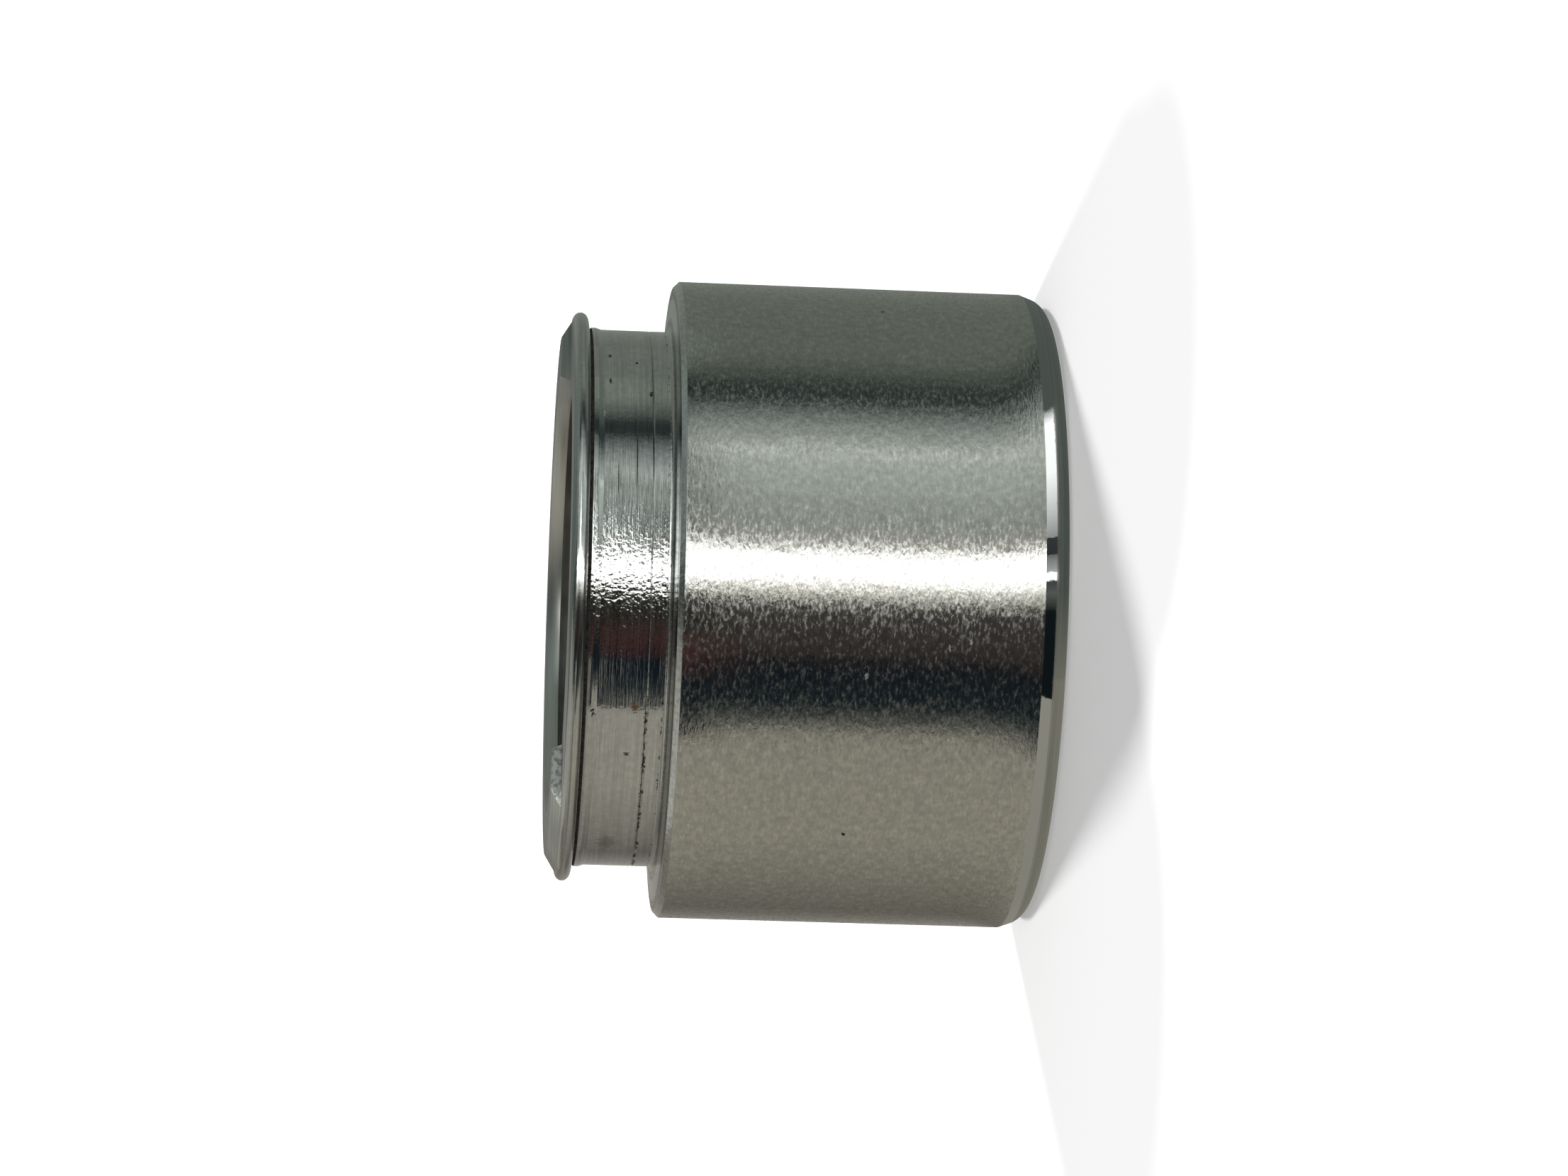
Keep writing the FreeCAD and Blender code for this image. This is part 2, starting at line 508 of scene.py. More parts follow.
def blend_colours(tree, share, first, second):
    """Mixes two colours, or sockets, by a share."""
    feeds = {0: share}
    for number, colour in ((6, first), (7, second)):
        feeds[number] = colour if isinstance(colour, bpy.types.NodeSocket) else (*colour, 1.0)
    return new_node(tree, "ShaderNodeMix", feeds, data_type="RGBA").outputs[2]


def scaled(colour, factor):
    """A colour made lighter or darker."""
    return tuple(min(1.0, channel * factor) for channel in colour)


def patterned(tree, pattern, colour, low, high):
    """A colour that a pattern makes darker and lighter, between two factors."""
    return blend_colours(tree, spread(tree, pattern, 0.0, 1.0), scaled(colour, low), scaled(colour, high))


def blend_numbers(tree, share, first, second):
    """Mixes two numbers, or sockets, by a share."""
    return new_node(tree, "ShaderNodeMix", {0: share, 2: first, 3: second}, data_type="FLOAT").outputs[0]


def ragged_line(tree, place, centre, half_width, ragged=0.5):
    """1 on a ragged line round the piston where place, a radius or height, is near centre."""
    reach = 5.0 * ragged * half_width
    wobble = calculate(tree, "MULTIPLY_ADD", even_pattern(tree, 2600, 3.0), reach, -reach / 2 - centre)
    distance = calculate(tree, "ABSOLUTE", calculate(tree, "ADD", place, wobble))
    return spread(tree, distance, 1.0, 0.0, 0.5 * half_width, 1.2 * half_width)


def spots(tree, marks, ragged=0.5):
    """1 inside any mark, each (x, y, z, half size round the wall, half size along the axis), in mm."""
    place = object_place(tree)
    wobble = calculate(tree, "MULTIPLY_ADD", even_pattern(tree, 5200, 3.0), 6.0 * ragged, -3.0 * ragged)
    inside = []
    for x, y, z, around_size, along_size in marks:
        centre = (x * MM, y * MM, z * MM)
        offset = new_node(tree, "ShaderNodeVectorMath", {0: place, 1: centre}, operation="SUBTRACT").outputs[0]
        wide, tall = 1 / (around_size * MM), 1 / (along_size * MM)
        stretch = {0: offset, 1: (wide, wide, tall)}
        stretched = new_node(tree, "ShaderNodeVectorMath", stretch, operation="MULTIPLY").outputs[0]
        reach = new_node(tree, "ShaderNodeVectorMath", {0: stretched}, operation="LENGTH").outputs["Value"]
        inside.append(spread(tree, calculate(tree, "ADD", reach, wobble), 1.0, 0.0, 0.75, 1.15))
    return largest(tree, *inside)


def dress(tree, shader, heights, colour=None, roughness=None):
    """Gives a shader its colour, its roughness and fine relief from (pattern, height in metres) pairs."""
    last = None
    for pattern, height in heights:
        feeds = {"Strength": 1.0, "Distance": height, "Height": pattern}
        if last is not None:
            feeds["Normal"] = last
        last = new_node(tree, "ShaderNodeBump", feeds).outputs[0]
    for name, source in (("Base Color", colour), ("Roughness", roughness), ("Normal", last)):
        if source is not None:
            tree.links.new(source, shader.inputs[name])


# Marks seen on the piston: x, y, z, half size round the wall and half size along the axis, in mm
WALL_LIGHT_FLECKS = (
    (-14.93, -22.49, 16.28, 0.30, 0.12),
    (-12.33, -24.02, 8.02, 0.26, 0.10),
    (-12.88, -23.73, 9.70, 0.24, 0.10),
)
WALL_DARK_DOTS = (
    (-24.51, -11.34, 17.12, 0.16, 0.14),
    (18.43, -19.74, 14.55, 0.14, 0.12),
)
GROOVE_PITS = (
    (-18.69, -12.89, 34.90, 0.20, 0.14),
    (9.78, -20.48, 33.65, 0.36, 0.11),
    (14.57, -17.41, 36.95, 0.22, 0.14),
    (13.69, -18.11, 34.80, 0.20, 0.10),
    (-16.31, -15.79, 37.77, 0.30, 0.14),
    (11.28, -19.70, 36.95, 0.34, 0.10),
)
GROOVE_LIGHT_MARKS = (
    (7.65, -21.37, 37.48, 0.40, 0.07),
    (9.04, -20.82, 32.56, 0.12, 0.12),
)
GROOVE_SCRATCHES = (
    (3.63, -22.41, 34.80, 3.6, 0.055),
    (1.20, -22.67, 36.30, 1.6, 0.045),
    (5.60, -22.00, 33.90, 1.2, 0.045),
)
GROOVE_RUST = ((-15.92, -16.19, 34.42, 0.32, 0.27),)
GROOVE_SCUFFED = ((-7.1, -21.5, 35.2, 5.4, 9.0),)
GROOVE_STAIN = ((-22.61, -2.05, 35.88, 1.1, 0.75),)
STEP_TORN_END = ((-18.2, -8.2, 40.30, 2.7, 0.9),)


def ground_wall_steel(colours):
    """Ground and plated wall: short flecks round the wall, rough ones among them, and a soft mottle."""
    material, tree, shader = new_steel("ground_wall_steel", colours.ground_steel, 0.16)
    flecks = mark_pattern(tree, 4700, 1700, 3.0, 0.6)
    scuffs = mark_pattern(tree, 4300, 1800, 3.0, 0.65)
    mottle = even_pattern(tree, 1700, 3.0)
    shade = patterned(tree, flecks, colours.ground_steel, 0.82, 1.27)
    shade = blend_colours(tree, spread(tree, mottle, 0.0, 0.8), shade, scaled(colours.ground_steel, 0.74))
    shade = blend_colours(tree, spots(tree, WALL_DARK_DOTS), shade, colours.dark_shade_and_spots)
    worn = spread(tree, scuffs, 0.10, 0.42, 0.43, 0.70)
    worn = blend_numbers(tree, spots(tree, WALL_LIGHT_FLECKS), worn, 0.7)
    dress(tree, shader, [(flecks, 0.027 * MM), (mottle, 0.014 * MM)], shade, worn)
    return material


def groove_steel(colours):
    """Turned groove: near mirror with fine rings and grain, a scored line, pits, a stain and a rust speck."""
    material, tree, shader = new_steel("groove_steel", colours.turned_steel, 0.09)
    rings = mark_pattern(tree, 5000, 90, 3.0, 0.65)
    grain = mark_pattern(tree, 3000, 1500, 2.0, 0.6)
    blisters = even_pattern(tree, 3000, 1.2)
    mottle = even_pattern(tree, 1700, 4.0, 0.6)
    x, _, height = object_parts(tree)
    shade = patterned(tree, rings, colours.turned_steel, 0.74, 1.20)
    shade = blend_colours(tree, spread(tree, mottle, 0.0, 0.6), shade, scaled(colours.turned_steel, 0.70))
    stain = calculate(tree, "MULTIPLY", spots(tree, GROOVE_STAIN), 0.45)
    shade = blend_colours(tree, stain, shade, colours.stain)
    # The scored line is darkened only where x is below about -12 mm, and a ragged line along the groove's
    # corner by the shoulder is darkened too; both are darkened like the pits.
    broken = spread(tree, mark_pattern(tree, 1300, 1100, 4.0, 0.7), 0.0, 1.0, 0.47, 0.56)
    darkened_side = spread(tree, x, 1.0, 0.0, -15.5 * MM, -12.0 * MM)
    score = ragged_line(tree, height, 33.44 * MM, 0.13 * MM, 1.0)
    score = calculate(tree, "MULTIPLY", calculate(tree, "MULTIPLY", score, broken), darkened_side)
    foot = calculate(tree, "MULTIPLY", ragged_line(tree, height, 32.0 * MM, 0.17 * MM, 0.9), broken)
    pits = largest(tree, spots(tree, GROOVE_PITS, 0.8), spots(tree, GROOVE_SCRATCHES, 0.1), score, foot)
    shade = blend_colours(tree, pits, shade, scaled(colours.stain, 0.5))
    rust = spots(tree, GROOVE_RUST, 0.8)
    shade = blend_colours(tree, rust, shade, colours.rust_speck)
    dull = largest(tree, spots(tree, GROOVE_LIGHT_MARKS), pits, rust)
    gloss = blend_numbers(tree, dull, spread(tree, rings, 0.04, 0.15), 0.6)
    scuffed = spread(tree, spots(tree, GROOVE_SCUFFED, 0.2), 0.10, 1.0, 0.0, 1.0)
    raised = calculate(tree, "MULTIPLY", calculate(tree, "SUBTRACT", blisters, 0.5), scuffed)
    dress(tree, shader, [(rings, 0.026 * MM), (grain, 0.009 * MM), (raised, 0.050 * MM)], shade, gloss)
    return material


def lead_in_steel(colours):
    """Polished lead-in cone."""
    material, tree, shader = new_steel("lead_in_steel", colours.turned_steel, 0.06)
    rings = mark_pattern(tree, 9000, 150, 2.0)
    waves = even_pattern(tree, 2200, 2.0)
    dress(tree, shader, [(waves, 0.012 * MM)], roughness=spread(tree, rings, 0.05, 0.12))
    return material


def end_face_steel(colours):
    """Turned closed end with fine rings."""
    material, tree, shader = new_steel("end_face_steel", colours.ground_steel, 0.3)
    rings = mark_pattern(tree, 8000, 100, 3.0)
    shade = patterned(tree, rings, colours.ground_steel, 0.82, 1.1)
    dress(tree, shader, [(rings, 0.006 * MM)], shade, spread(tree, rings, 0.22, 0.36))
    return material


def shoulder_steel(colours):
    """Shoulder beside the groove: a bevel painted lighter in blotches as a painted highlight, then a face with
    a painted shade line at each end.
    """
    material, tree, shader = new_steel("shoulder_steel", colours.turned_steel, 0.14)
    rings = mark_pattern(tree, 9000, 140, 3.0)
    shade = patterned(tree, rings, colours.turned_steel, 0.75, 1.15)
    radius = radius_of(tree)
    # Painted highlight: the bevel's colour is made lighter in blotches.
    bevel = spread(tree, radius, 0.0, 1.0, 26.5 * MM, 26.6 * MM)
    mottle = even_pattern(tree, 2300, 3.0)
    bevel_highlight = calculate(tree, "MULTIPLY", bevel, spread(tree, mottle, 0.0, 1.0, 0.38, 0.6))
    shade = blend_colours(tree, bevel_highlight, shade, scaled(colours.turned_steel, 1.2))
    # Painted shade: a dark line at the foot and at the brow of the shoulder's face.
    foot = ragged_line(tree, radius, 23.45 * MM, 0.50 * MM, 0.3)
    brow_shade_line = ragged_line(tree, radius, 25.95 * MM, 0.48 * MM, 0.2)
    shade = blend_colours(tree, largest(tree, foot, brow_shade_line), shade, colours.dark_shade_and_spots)
    dress(tree, shader, [(rings, 0.006 * MM), (mottle, 0.028 * MM)], shade, spread(tree, rings, 0.1, 0.24))
    return material


def lip_steel(colours):
    """Lip crest, turned and lightly worn."""
    material, tree, shader = new_steel("lip_steel", colours.turned_steel, 0.14)
    rings = mark_pattern(tree, 6000, 160, 3.0)
    mottle = even_pattern(tree, 1900, 3.0)
    shade = patterned(tree, rings, colours.turned_steel, 0.85, 1.1)
    shade = blend_colours(tree, spread(tree, mottle, 0.0, 0.5), shade, scaled(colours.turned_steel, 0.78))
    dents = mark_pattern(tree, 2400, 1200, 2.0)
    dress(tree, shader, [(rings, 0.005 * MM), (dents, 0.012 * MM)], shade, spread(tree, rings, 0.1, 0.24))
    return material


def rim_steel(colours):
    """Rim in front of the lip."""
    material, tree, shader = new_steel("rim_steel", colours.milled_steel, 0.26)
    rings = mark_pattern(tree, 6000, 200, 3.0)
    shade = patterned(tree, rings, colours.milled_steel, 0.75, 1.15)
    dress(tree, shader, [(rings, 0.006 * MM), (even_pattern(tree, 1500, 2.0), 0.008 * MM)], shade)
    return material


def milled_steel(colours):
    """Milled step: straight cutter marks across it, and a torn end."""
    material, tree, shader = new_steel("milled_step_steel", colours.milled_steel, 0.36)
    feeds = noise_feeds(stretched_place(tree, (160, 5000, 5000)), 1.0, 3.0, 0.5)
    marks = new_node(tree, "ShaderNodeTexNoise", feeds).outputs["Fac"]
    shade = patterned(tree, marks, colours.milled_steel, 0.75, 1.20)
    tears = even_pattern(tree, 2400, 3.0)
    torn_end = spots(tree, STEP_TORN_END, 0.3)
    torn = calculate(tree, "MULTIPLY", torn_end, spread(tree, tears, 1.0, 0.7, 0.42, 0.56))
    shade = blend_colours(tree, torn, shade, scaled(colours.milled_steel, 0.22))
    raised = calculate(tree, "MULTIPLY", tears, torn_end)
    dress(tree, shader, [(marks, 0.008 * MM), (raised, 0.014 * MM)], shade)
    return material


def mouth_cone_steel(colours):
    """Smooth cone at the bore's mouth."""
    material, tree, shader = new_steel("mouth_cone_steel", colours.ground_steel, 0.3)
    rings = mark_pattern(tree, 5000, 150, 2.0)
    shade = patterned(tree, rings, colours.ground_steel, 0.9, 1.06)
    dress(tree, shader, [(rings, 0.003 * MM)], shade)
    return material


def bore_steel(colours):
    """Unfinished inside of the cup, its colour painted dark as painted shade, darker still in blotches."""
    material, tree, shader = new_steel("bore_steel", scaled(colours.ground_steel, 0.3), 0.5)
    rings = mark_pattern(tree, 2500, 60, 3.0)
    bore_blotches = even_pattern(tree, 260, 4.0)
    # Painted shade: the bore's colour is made dark, and the blotches mix in the dark shade colour.
    shade = patterned(tree, rings, colours.ground_steel, 0.22, 0.42)
    shade = blend_colours(tree, spread(tree, bore_blotches, 0.2, 0.6), shade, colours.dark_shade_and_spots)
    dress(tree, shader, [(rings, 0.015 * MM)], shade, spread(tree, bore_blotches, 0.38, 0.6))
    return material


def crevice_shade(colours):
    """Painted shade in the crevice at the foot of the lip: a dark, matt colour, lighter and darker in blotches.
    """
    material, tree, shader = new_steel("crevice_shade", colours.dark_shade_and_spots, 0.6, metallic=0.0)
    crevice_blotches = even_pattern(tree, 3000, 3.0)
    shade = patterned(tree, crevice_blotches, colours.dark_shade_and_spots, 0.5, 2.2)
    dress(tree, shader, [(crevice_blotches, 0.01 * MM)], shade)
    return material


# Finishes along the turned outline, in the order they are met from the closed end, and the milled step's
FINISHES = {
    "end_face": end_face_steel,
    "lead_in": lead_in_steel,
    "ground_wall": ground_wall_steel,
    "shoulder": shoulder_steel,
    "groove": groove_steel,
    "crevice": crevice_shade,
    "lip": lip_steel,
    "rim": rim_steel,
    "mouth_cone": mouth_cone_steel,
    "bore": bore_steel,
    "milled_step": milled_steel,
}


class PISTON_OT_turn_piston(bpy.types.Operator):
    """Turns, mills and finishes the piston, which stands for the CAD piston"""

    bl_idname = "piston.turn_piston"
    bl_label = "Piston"

    def execute(self, context):
        sizes = context.scene.piston_sizes
        colours = context.scene.piston_colours
        materials = {name: make(colours) for name, make in FINISHES.items()}
        points, rim_top = outline_points(sizes)
        source = add_object("turned_outline", outline_mesh(points))
        tree = turning_tree(materials)
        modifier = source.modifiers.new("turning", "NODES")
        modifier.node_group = tree
        set_input(modifier, tree, "Turned sides", sizes.turned_sides)
        set_input(modifier, tree, "Step wall", sizes.step_offset)
        set_input(modifier, tree, "Step floor", rim_top - sizes.step_depth)
        piece = plain_piece("caliper_piston", source)
        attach(piece, "root")
        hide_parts("piston")
        return {"FINISHED"}


# The studio

# Direction of the camera from the axis, turned about Z from +X
NEAR_SIDE = math.radians(-111.8)

# Reflection cards: their height, the hood's height and the gap under them
CARD_TOP = 75 * MM
HOOD_TOP = 150 * MM
FLOOR_GAP = 0.1 * MM

# Heights of the small cards level with the groove and with the lip, and radii of the cards on the floor
GROOVE_FRONT = (30.4 * MM, 38.2 * MM)
LIP_FRONT = (38.2 * MM, 52.0 * MM)
INNER_FOOT = (23 * MM, 27.6 * MM)
OUTER_FOOT = (27.6 * MM, 31 * MM)

# Heights that the groove sees on the cards, and the rings there: height in mm, and 1 on a bar
GROOVE_ZONE = (30.3 * MM, 43.0 * MM)
BARRED_RINGS = (
    (31.0, 0), (31.6, 0), (31.9, 1), (32.2, 0), (32.5, 1), (33.1, 1), (33.3, 0), (33.6, 0), (33.9, 1),
    (34.3, 1), (34.6, 0), (35.2, 0), (35.5, 1), (35.8, 0), (36.1, 1), (36.6, 1), (36.9, 0), (41.0, 0),
)

# Between these heights the glow of a card behind the piston changes to that of its crown
CROWN_ZONE = (40 * MM, 44 * MM)

# Degrees round the axis between two edges of a bent card
CARD_STEP = 2.0

# Share of white that the floor adds where it is the background
FLOOR_LIFT = 0.26

# Lamps behind the piston: degrees from the near side, height in degrees, and width of the light in degrees
LAMPS = (("lamp_behind", 195.0), ("lamp_side", 154.0))
LAMP_ELEVATION = 30.0
LAMP_WIDTH = 7.0

# The camera: distance from the axis, height, the point that it looks at, roll in degrees and lens in mm
CAMERA_DISTANCE = 0.3991
CAMERA_HEIGHT = 0.05076
TARGET_HEIGHT = 0.021116
TARGET_SIDE = 0.001325
CAMERA_ROLL = 1.9355
CAMERA_LENS = 107.827

# Reflection cards round the piston: name, start and end in degrees from the near side, glow at the
# start and at the end, share of the glow that the groove sees, and depth of the bars across it there
CARDS = (
    ("soft_box", 6.1, 14.0, (3.20, 3.20, 3.20), (3.00, 3.00, 3.00), 1.0, 0.0),
    ("warm_edge", 14.0, 20.0, (0.47, 0.45, 0.41), (0.40, 0.41, 0.39), 0.85, 0.8),
    ("grey", 20.0, 30.0, (0.37, 0.40, 0.38), (0.47, 0.52, 0.49), 0.66, 0.9),
    ("pale_grey", 30.0, 41.0, (0.52, 0.57, 0.53), (0.60, 0.66, 0.60), 0.78, 0.9),
    ("pale_strip", 41.0, 43.5, (0.88, 0.93, 0.87), (0.88, 0.93, 0.87), 0.65, 0.8),
    ("grey_fall", 43.5, 59.0, (0.58, 0.63, 0.60), (0.05, 0.07, 0.07), 1.35, 0.9),
    ("dark_band", 59.0, 66.0, (0.032, 0.046, 0.044), (0.048, 0.062, 0.058), 0.7, 0.0),
    ("green_rise", 66.0, 76.0, (0.062, 0.077, 0.070), (0.17, 0.195, 0.168), 1.35, 0.0),
    ("green_grey", 76.0, 88.0, (0.170, 0.195, 0.170), (0.174, 0.197, 0.172), 1.45, 0.0),
    ("green_side", 88.0, 112.0, (0.174, 0.197, 0.172), (0.180, 0.200, 0.175), 1.15, 0.0),
    ("green_edge", 112.0, 150.0, (0.180, 0.200, 0.175), (0.240, 0.260, 0.235), 1.0, 0.0),
    ("cream", 1.0, 6.1, (0.45, 0.44, 0.39), (1.25, 1.23, 1.13), 0.7, 0.0),
    ("brown", -14.0, 1.0, (0.046, 0.036, 0.034), (0.056, 0.052, 0.048), 1.0, 0.0),
    ("black_blue", -27.0, -14.0, (0.012, 0.020, 0.026), (0.010, 0.014, 0.018), 0.8, 0.0),
    ("dark_fall", -33.5, -27.0, (0.140, 0.145, 0.130), (0.022, 0.030, 0.034), 0.4, 0.0),
    ("beige", -72.0, -33.5, (0.375, 0.355, 0.300), (0.380, 0.362, 0.308), 1.12, 0.0),
    ("beige_fall", -115.0, -72.0, (0.165, 0.155, 0.134), (0.365, 0.345, 0.292), 1.12, 0.0),
    ("beige_dark", -150.0, -115.0, (0.400, 0.390, 0.350), (0.160, 0.150, 0.130), 1.0, 0.0),
)

# Smaller cards in front of the others, which the groove alone sees: name, start, end and glows
GROOVE_CARDS = (
    ("white", 4.2, 15.3, (2.8, 2.8, 2.75), (3.2, 3.2, 3.2)),
    ("black", -9.0, 4.2, (0.020, 0.022, 0.016), (0.018, 0.020, 0.016)),
    ("red_brown", -19.0, -9.0, (0.066, 0.028, 0.028), (0.100, 0.038, 0.030)),
    ("navy", -37.3, -19.0, (0.010, 0.018, 0.022), (0.006, 0.012, 0.020)),
)

# Cards behind the piston: name, start, end and glows, and the share of the glow above the mouth
BACK_CARDS = (
    ("rise", 150.0, 172.0, (0.240, 0.260, 0.235), (0.550, 0.570, 0.540), 0.50),
    ("box", 172.0, 188.0, (1.40, 1.40, 1.36), (1.40, 1.40, 1.36), 0.16),
    ("fade", 188.0, 210.0, (0.600, 0.600, 0.560), (0.400, 0.390, 0.350), 0.50),
)

# Cards high up, which the mouth, the rim and the shoulder's bevel see: name, start, end and glows
HOOD_CARDS = (
    ("beige", -150.0, -55.0, (0.460, 0.455, 0.410), (0.470, 0.465, 0.420)),
    ("beige_fall", -55.0, -15.0, (0.470, 0.465, 0.420), (0.130, 0.135, 0.120)),
    ("dark", -15.0, 12.0, (0.080, 0.085, 0.080), (0.050, 0.070, 0.070)),
    ("green_rise", 12.0, 45.0, (0.060, 0.080, 0.080), (0.250, 0.290, 0.280)),
    ("green_grey", 45.0, 210.0, (0.240, 0.275, 0.265), (0.120, 0.140, 0.130)),
)

# Small cards level with the lip: name, start, end and glows
LIP_CARDS = (
    ("white", 6.0, 26.0, (3.0, 3.0, 2.9), (2.4, 2.5, 2.4)),
    ("fade", 26.0, 40.0, (1.8, 1.9, 1.85), (0.50, 0.55, 0.52)),
    ("dark", -20.0, 3.0, (0.030, 0.032, 0.032), (0.014, 0.018, 0.018)),
    ("beige", -150.0, -20.0, (0.290, 0.280, 0.240), (0.290, 0.280, 0.240)),
)

# Cards on the floor round the lead-in cone, and under the rounding: name, start, end and glows
FOOT_CARDS = (
    ("white", 27.0, 38.0, (1.45, 1.48, 1.48), (1.60, 1.62, 1.62)),
    ("rise", 38.0, 41.5, (1.60, 1.62, 1.62), (0.14, 0.16, 0.15)),
    ("grey", 14.0, 27.0, (0.38, 0.40, 0.40), (1.45, 1.48, 1.48)),
    ("blot", 10.7, 14.0, (0.040, 0.045, 0.045), (0.050, 0.055, 0.055)),
    ("dim", 7.5, 10.7, (0.55, 0.56, 0.55), (0.18, 0.20, 0.20)),
    ("spark", 5.9, 7.5, (1.60, 1.60, 1.55), (1.60, 1.60, 1.55)),
    ("gap", 3.8, 5.9, (0.12, 0.13, 0.13), (0.06, 0.07, 0.07)),
    ("shade", 0.3, 3.8, (0.012, 0.016, 0.018), (0.14, 0.15, 0.14)),
    ("black", -16.0, 0.3, (0.006, 0.010, 0.012), (0.008, 0.012, 0.014)),
    ("beige", -80.0, -16.0, (0.310, 0.300, 0.258), (0.370, 0.355, 0.305)),
    ("beige_fall", -150.0, -80.0, (0.130, 0.145, 0.125), (0.310, 0.300, 0.258)),
    ("green_grey", 41.5, 210.0, (0.100, 0.115, 0.105), (0.130, 0.145, 0.125)),
)
INNER_FOOT_CARDS = (
    ("green_grey", 4.0, 210.0, (0.105, 0.125, 0.115), (0.130, 0.145, 0.130)),
    ("rise", -12.0, 4.0, (0.230, 0.235, 0.205), (0.105, 0.125, 0.115)),
    ("beige", -150.0, -12.0, (0.230, 0.222, 0.192), (0.270, 0.265, 0.230)),
)


def glow_material():
    """Glow of a card, taken from its own points."""
    material = bpy.data.materials.new("card_glow")
    material.use_nodes = True
    tree = material.node_tree
    tree.nodes.clear()
    colour = new_node(tree, "ShaderNodeAttribute", attribute_name="glow").outputs["Color"]
    emission = new_node(tree, "ShaderNodeEmission", {"Color": colour})
    new_node(tree, "ShaderNodeOutputMaterial", {0: emission.outputs[0]})
    return material


def around(radius, height, degrees):
    """Point at an angle from the near side."""
    angle = NEAR_SIDE + math.radians(degrees)
    return (radius * math.cos(angle), radius * math.sin(angle), height)


def bent_card(name, rings, start, end, first_glow, last_glow, material):
    """A card bent round the axis through (radius, height, share of glow) rings, for reflections only."""
    steps = max(2, int((end - start) / CARD_STEP))
    places = []
    glows = []
    for i in range(steps + 1):
        share = i / steps
        degrees = start + (end - start) * share
        mixed = [a + (b - a) * share for a, b in zip(first_glow, last_glow)]
        for radius, height, level in rings:
            places.append(around(radius, height, degrees))
            glows.extend((*[part * level for part in mixed], 1.0))
    count = len(rings)
    faces = []
    for i in range(steps):
        for j in range(count - 1):
            first = i * count + j
            faces.append((first, first + count, first + count + 1, first + 1))
    mesh = bpy.data.meshes.new(name)
    mesh.from_pydata(places, [], faces)
    mesh.attributes.new("glow", "FLOAT_COLOR", "POINT").data.foreach_set("color", glows)
    mesh.materials.append(material)
    card = add_object(name, mesh)
    for ray in ("camera", "diffuse", "shadow", "transmission", "volume_scatter"):
        setattr(card, "visible_" + ray, False)


def card_wall(radius, level, bars):
    """Rings of a card from the floor up. The groove sees level, less its bars, in place of the full glow."""
    rings = [(OUTER_FOOT[1], FLOOR_GAP, 1.0), (radius, FLOOR_GAP, 1.0), (radius, GROOVE_ZONE[0], 1.0)]
    for height, barred in BARRED_RINGS:
        rings.append((radius, height * MM, level * (1 - bars * barred)))
    rings.extend([(radius, GROOVE_ZONE[1], 1.0), (radius, CARD_TOP, 1.0)])
    return rings


def add_floor(studio):
    """Large pale floor that shows white to the camera and in metal, and keeps the piston's shadow."""
    half = 3.0
    mesh = bpy.data.meshes.new("studio_floor")
    corners = [(-half, -half, 0), (half, -half, 0), (half, half, 0), (-half, half, 0)]
    mesh.from_pydata(corners, [], [(0, 1, 2, 3)])
    material = bpy.data.materials.new("floor_white")
    material.use_nodes = True
    tree = material.node_tree
    tree.nodes.clear()
    paint = new_node(tree, "ShaderNodeBsdfDiffuse", {"Color": (*studio.floor_colour, 1.0)})
    strength = calculate(tree, "MULTIPLY", seen_as_background(tree), FLOOR_LIFT)
    lift = new_node(tree, "ShaderNodeEmission", {"Color": (1.0, 1.0, 1.0, 1.0), "Strength": strength})
    both = new_node(tree, "ShaderNodeAddShader", {0: paint.outputs[0], 1: lift.outputs[0]})
    new_node(tree, "ShaderNodeOutputMaterial", {0: both.outputs[0]})
    mesh.materials.append(material)
    add_object("studio_floor", mesh)


def seen_as_background(tree):
    """1 for camera, glossy and transmission rays, and 0 for the light on diffuse surfaces."""
    rays = new_node(tree, "ShaderNodeLightPath").outputs
    return largest(tree, rays["Is Camera Ray"], rays["Is Glossy Ray"], rays["Is Transmission Ray"])


def add_sky(studio):
    """Even light from all round, white where it is the background."""
    world = bpy.data.worlds.new("studio_sky")
    bpy.context.scene.world = world
    world.use_nodes = True
    tree = world.node_tree
    background = tree.nodes["Background"]
    background.inputs["Color"].default_value = (1.0, 1.0, 1.0, 1.0)
    strength = blend_numbers(tree, seen_as_background(tree), studio.sky_strength, 1.0)
    tree.links.new(strength, background.inputs["Strength"])


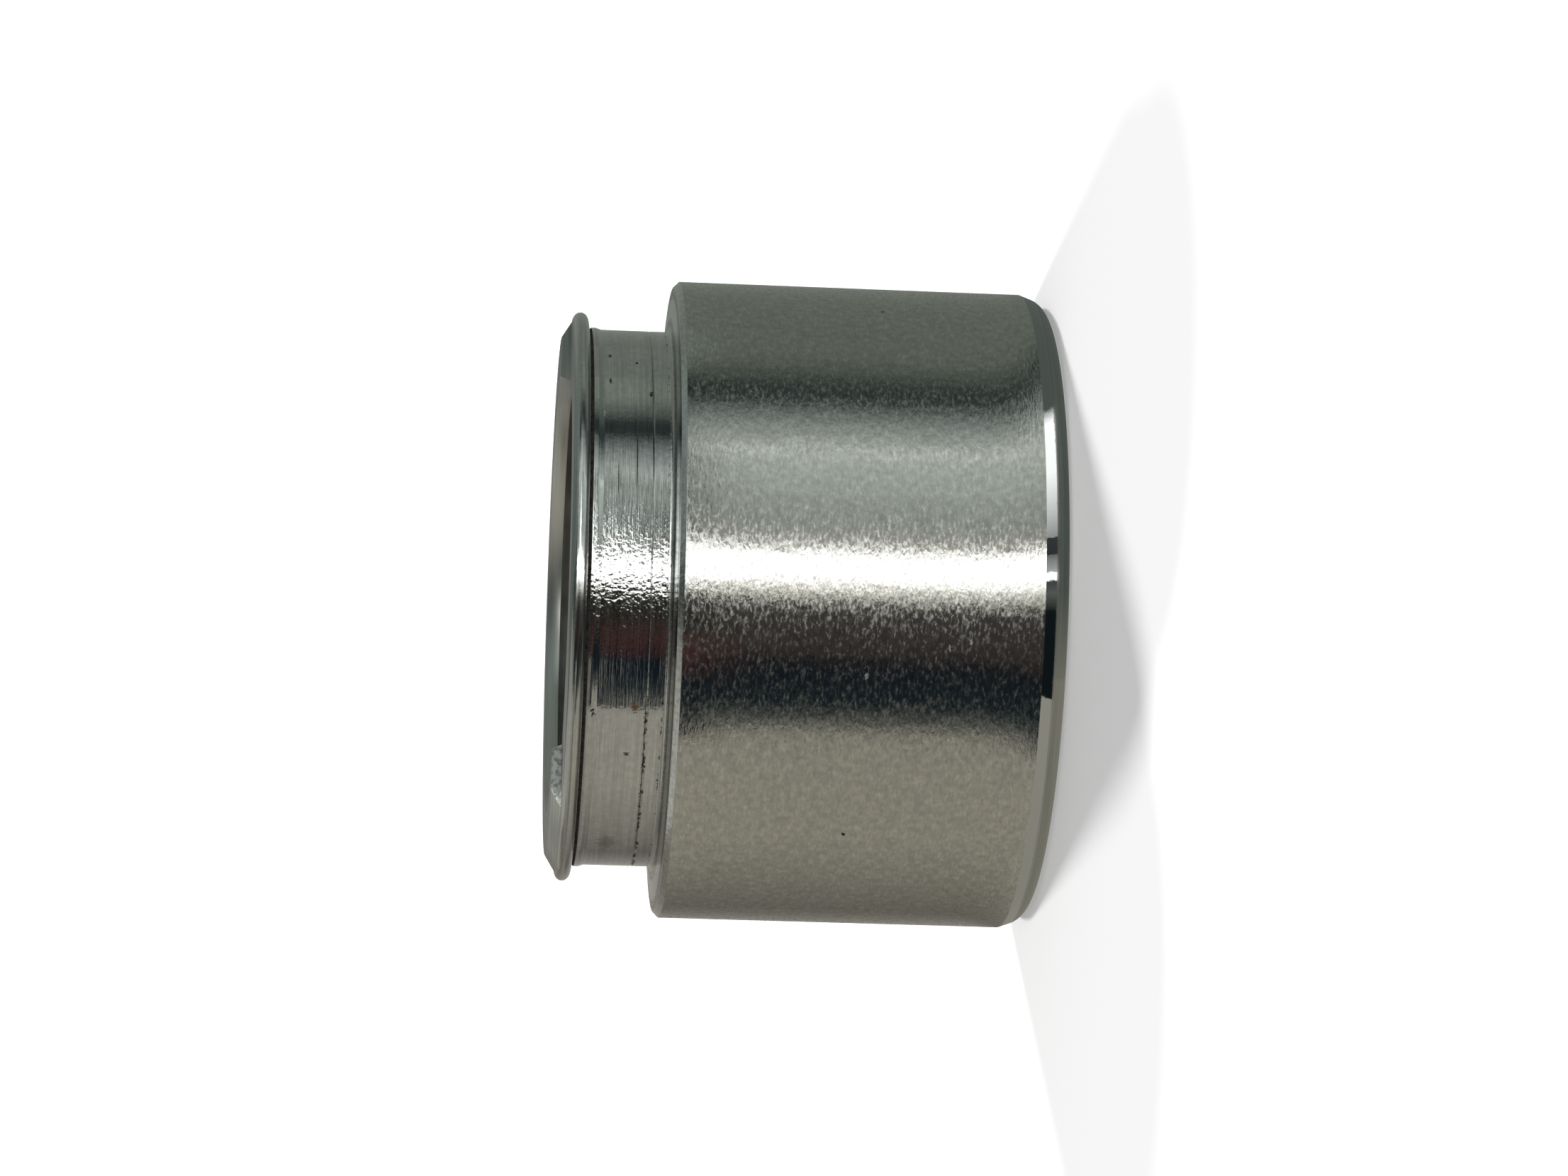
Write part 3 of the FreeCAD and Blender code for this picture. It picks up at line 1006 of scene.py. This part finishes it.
def add_cards(studio):
    """Ring of cards close round the piston, with a hood above it and a foot on the floor."""
    radius = studio.card_radius
    glow = glow_material()
    for name, start, end, first, last, level, bars in CARDS:
        bent_card("card_" + name, card_wall(radius, level, bars), start, end, first, last, glow)
    for name, start, end, first, last, crown in BACK_CARDS:
        rings = [(OUTER_FOOT[1], FLOOR_GAP, 1.0), (radius, FLOOR_GAP, 1.0), (radius, CROWN_ZONE[0], 1.0)]
        rings.extend([(radius, CROWN_ZONE[1], crown), (radius, CARD_TOP, crown)])
        bent_card("back_" + name, rings, start, end, first, last, glow)
    front = radius - MM
    groups = (
        ("groove_", GROOVE_CARDS, [(front, GROOVE_FRONT[0], 1.0), (front, GROOVE_FRONT[1], 1.0)]),
        ("lip_", LIP_CARDS, [(front, LIP_FRONT[0], 1.0), (front, LIP_FRONT[1], 0.6)]),
        ("hood_", HOOD_CARDS, [(radius, CARD_TOP, 1.0), (radius, HOOD_TOP, 0.8), (0.5 * MM, HOOD_TOP, 0.7)]),
        ("foot_", FOOT_CARDS, [(OUTER_FOOT[0], FLOOR_GAP, 1.0), (OUTER_FOOT[1], FLOOR_GAP, 1.0)]),
        ("inner_foot_", INNER_FOOT_CARDS, [(INNER_FOOT[0], FLOOR_GAP, 1.0), (INNER_FOOT[1], FLOOR_GAP, 1.0)]),
    )
    for prefix, cards, rings in groups:
        for name, start, end, first, last in cards:
            bent_card(prefix + name, rings, start, end, first, last, glow)


def add_lamps(studio):
    """Two soft lamps behind the piston, whose shadows cross in front of it."""
    for name, degrees in LAMPS:
        data = bpy.data.lights.new(name, "SUN")
        data.energy = studio.lamp_strength
        data.angle = math.radians(LAMP_WIDTH)
        lamp = add_object(name, data)
        lamp.location = around(1.0, math.tan(math.radians(LAMP_ELEVATION)), degrees)
        lamp.rotation_euler = (-Vector(lamp.location)).to_track_quat("-Z", "Y").to_euler()
        lamp.visible_glossy = False


def add_camera():
    """Camera at the picture's viewing angle, rolled so that the mouth is at the picture's left."""
    near = Vector(around(1.0, 0.0, 0.0))
    side = Vector(around(1.0, 0.0, 90.0))
    axis = Vector((0, 0, 1))
    place = near * CAMERA_DISTANCE + axis * CAMERA_HEIGHT
    target = axis * TARGET_HEIGHT + side * TARGET_SIDE
    back = (place - target).normalized()
    right = (-axis + back * back.dot(axis)).normalized()
    up = back.cross(right)
    roll = math.radians(CAMERA_ROLL)
    rolled_right = right * math.cos(roll) + up * math.sin(roll)
    rolled_up = up * math.cos(roll) - right * math.sin(roll)
    turn = Matrix((rolled_right, rolled_up, back)).transposed()
    data = bpy.data.cameras.new("camera")
    data.sensor_fit = "HORIZONTAL"
    data.sensor_width = 36.0
    data.lens = CAMERA_LENS
    data.clip_start = 0.01
    data.clip_end = 20.0
    camera = add_object("camera", data)
    camera.matrix_world = Matrix.Translation(place) @ turn.to_4x4()
    bpy.context.scene.camera = camera


class PISTON_OT_set_studio(bpy.types.Operator):
    """Sets the floor, the reflection cards, the light and the camera"""

    bl_idname = "piston.set_studio"
    bl_label = "Studio"

    def execute(self, context):
        studio = context.scene.piston_studio
        add_floor(studio)
        add_sky(studio)
        add_cards(studio)
        add_lamps(studio)
        add_camera()
        context.scene.view_settings.view_transform = "Standard"
        return {"FINISHED"}


class PISTON_PT_panel(bpy.types.Panel):
    """Lists the piston's operators, sizes and colours"""

    bl_idname = "PISTON_PT_panel"
    bl_label = "Brake Caliper Piston"
    bl_space_type = "VIEW_3D"
    bl_region_type = "UI"
    bl_category = "Piston"

    def draw(self, context):
        layout = self.layout
        layout.operator(PISTON_OT_turn_piston.bl_idname)
        layout.operator(PISTON_OT_set_studio.bl_idname)
        for group in (context.scene.piston_sizes, context.scene.piston_colours, context.scene.piston_studio):
            box = layout.box()
            for name in group.__annotations__:
                box.prop(group, name)


CLASSES = (
    PistonSizes,
    PistonColours,
    PistonStudio,
    PISTON_OT_turn_piston,
    PISTON_OT_set_studio,
    PISTON_PT_panel,
)


def register():
    for cls in CLASSES:
        bpy.utils.register_class(cls)
    bpy.types.Scene.piston_sizes = PointerProperty(type=PistonSizes)
    bpy.types.Scene.piston_colours = PointerProperty(type=PistonColours)
    bpy.types.Scene.piston_studio = PointerProperty(type=PistonStudio)


def unregister():
    del bpy.types.Scene.piston_studio
    del bpy.types.Scene.piston_colours
    del bpy.types.Scene.piston_sizes
    for cls in reversed(CLASSES):
        bpy.utils.unregister_class(cls)


def main():
    register()
    bpy.ops.piston.turn_piston()
    bpy.ops.piston.set_studio()


if __name__ == "__main__":
    main()
